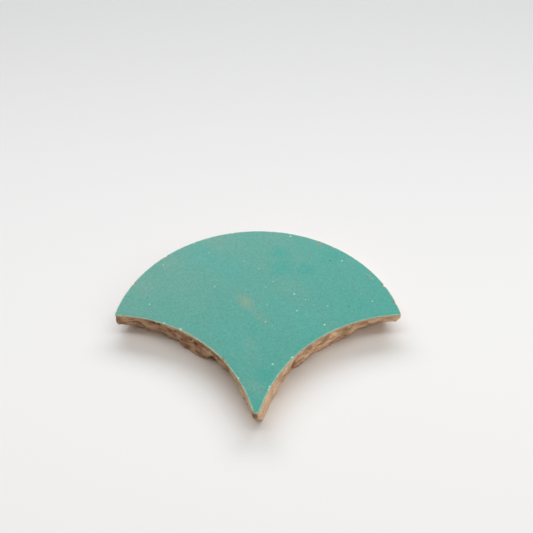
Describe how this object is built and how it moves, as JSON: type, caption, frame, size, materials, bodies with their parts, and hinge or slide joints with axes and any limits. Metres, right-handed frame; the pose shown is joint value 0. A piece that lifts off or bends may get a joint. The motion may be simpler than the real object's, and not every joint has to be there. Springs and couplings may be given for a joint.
{
  "type": "fish scale tile",
  "caption": "Scale-shaped glazed terracotta tile with a round crown, two hollow flanks that meet in a tip, and a chiselled, undercut edge, for laying in rows on walls and floors.",
  "frame": {"origin": "middle of the tile's box, on the level of its flat back", "axes": "+Z out of the glazed face, +X from the left side corner to the right one, +Y from the tip to the round crown"},
  "size_m": [0.127, 0.1062, 0.012],
  "materials": {
    "glazed_clay": "satin"
  },
  "bodies": {
    "root": {"fish_scale_tile": "glazed_clay"}
  },
  "joints": []
}
